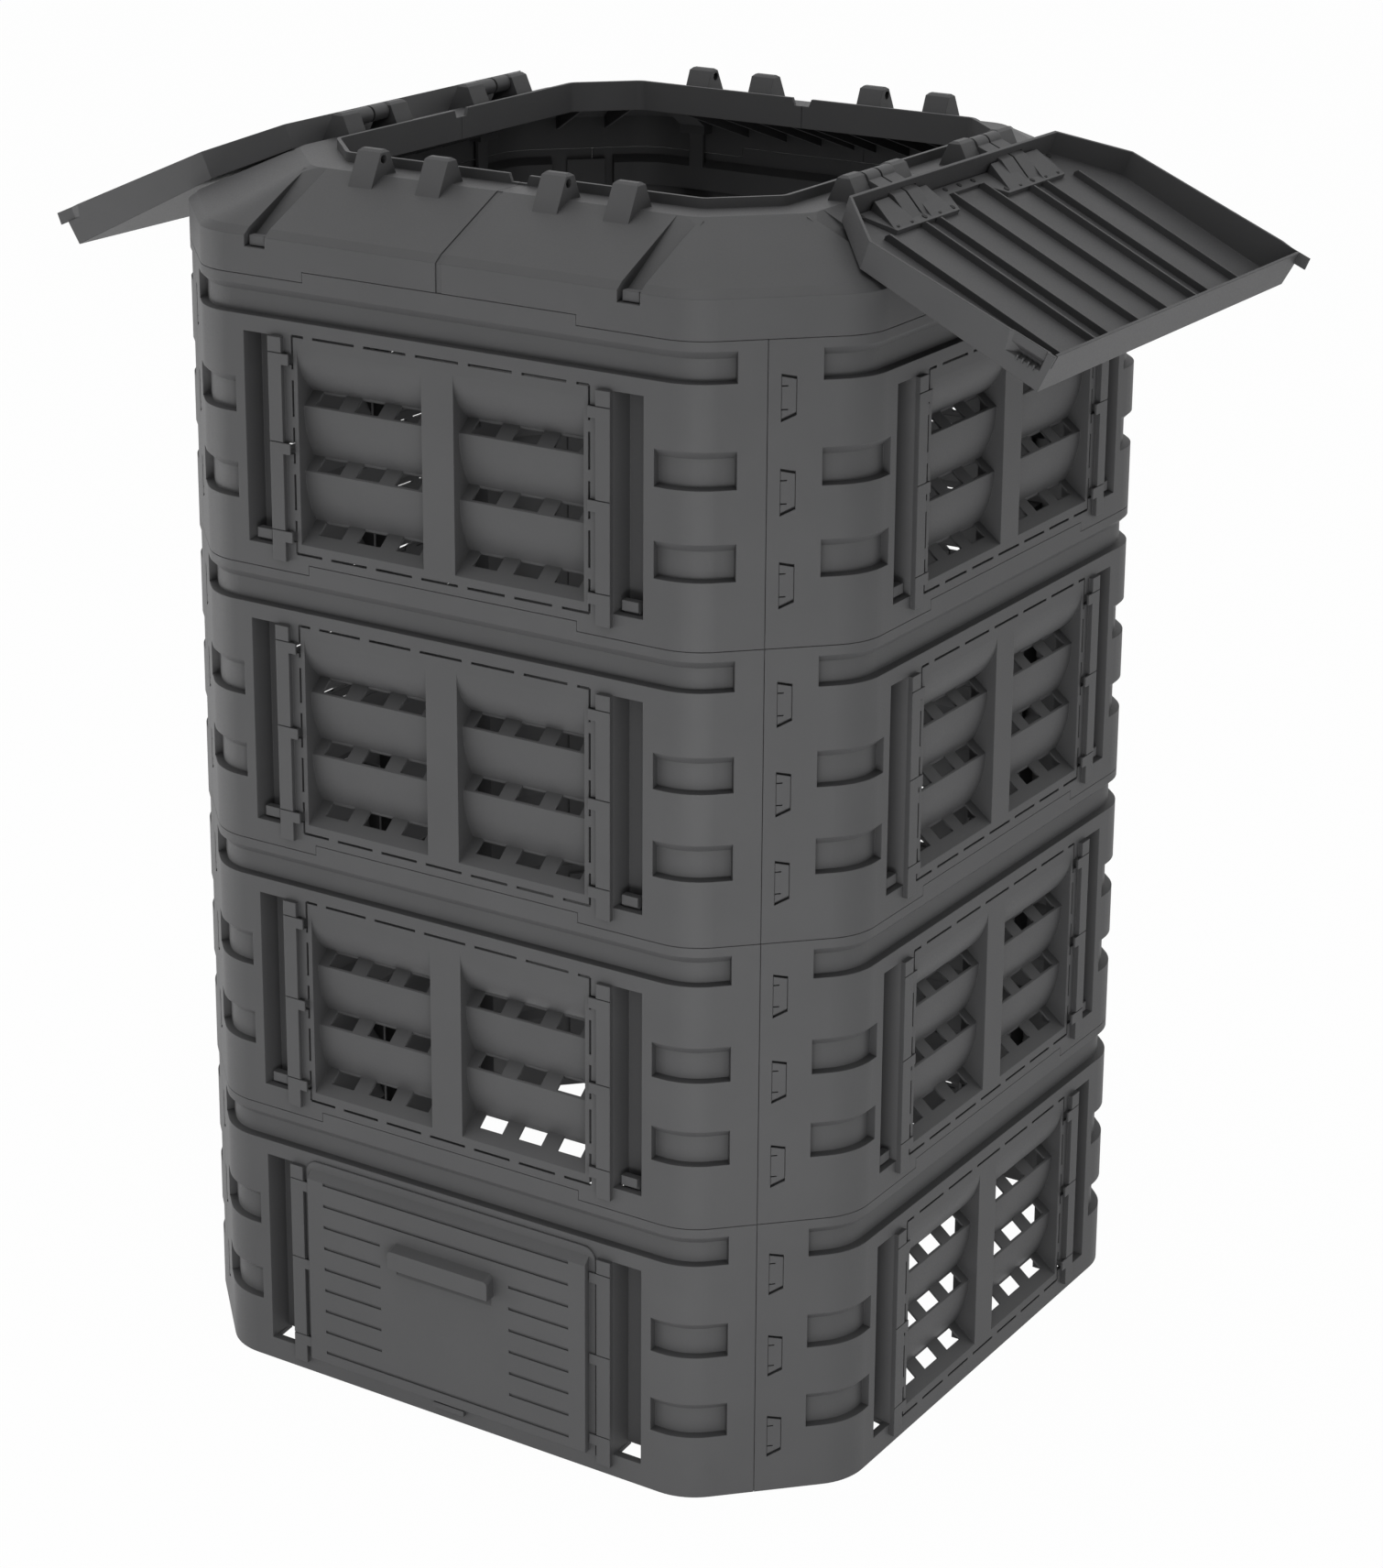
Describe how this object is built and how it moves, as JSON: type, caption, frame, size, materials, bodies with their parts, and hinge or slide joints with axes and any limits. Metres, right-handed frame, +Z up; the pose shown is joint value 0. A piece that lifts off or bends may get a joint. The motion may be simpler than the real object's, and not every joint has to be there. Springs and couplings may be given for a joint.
{
  "type": "compost bin",
  "caption": "Tall modular garden compost bin of stacked louvred wall panels, with a sloping roof, two hinged lids shown open and a sliding door at the foot.",
  "frame": {"origin": "on the floor, at the middle of the bin's plan", "axes": "+Z up, -Y out of the side with the sliding door, +X to the right of a person who faces the door"},
  "size_m": [1.178, 0.827, 1.283],
  "materials": {
    "dark_plastic": "fine moulded grain, satin"
  },
  "bodies": {
    "bin_body": {"panel_front_1": "dark_plastic", "panel_right_1": "dark_plastic", "panel_back_1": "dark_plastic", "panel_left_1": "dark_plastic", "panel_front_2": "dark_plastic", "panel_right_2": "dark_plastic", "panel_back_2": "dark_plastic", "panel_left_2": "dark_plastic", "panel_front_3": "dark_plastic", "panel_right_3": "dark_plastic", "panel_back_3": "dark_plastic", "panel_left_3": "dark_plastic", "panel_front_4": "dark_plastic", "panel_right_4": "dark_plastic", "panel_back_4": "dark_plastic", "panel_left_4": "dark_plastic", "roof_front_right": "dark_plastic", "roof_back_right": "dark_plastic", "roof_back_left": "dark_plastic", "roof_front_left": "dark_plastic"},
    "door": {"door": "dark_plastic"},
    "lid_right": {"lid_right": "dark_plastic", "hinge_strip_right": "dark_plastic"},
    "lid_left": {"lid_left": "dark_plastic", "hinge_strip_left": "dark_plastic"}
  },
  "joints": [
    {"name": "door_slide", "type": "slide", "parent": "bin_body", "child": "door", "axis": [0, 0, 1], "range_m": [0, 0.24]},
    {"name": "right_lid_hinge", "type": "hinge", "parent": "bin_body", "child": "lid_right", "pos_m": [0.3, 0, 1.274], "axis": [0, -1, 0], "range_deg": [0, 203.25]},
    {"name": "left_lid_hinge", "type": "hinge", "parent": "bin_body", "child": "lid_left", "pos_m": [-0.3, 0, 1.274], "axis": [0, 1, 0], "range_deg": [0, 203.25]}
  ]
}
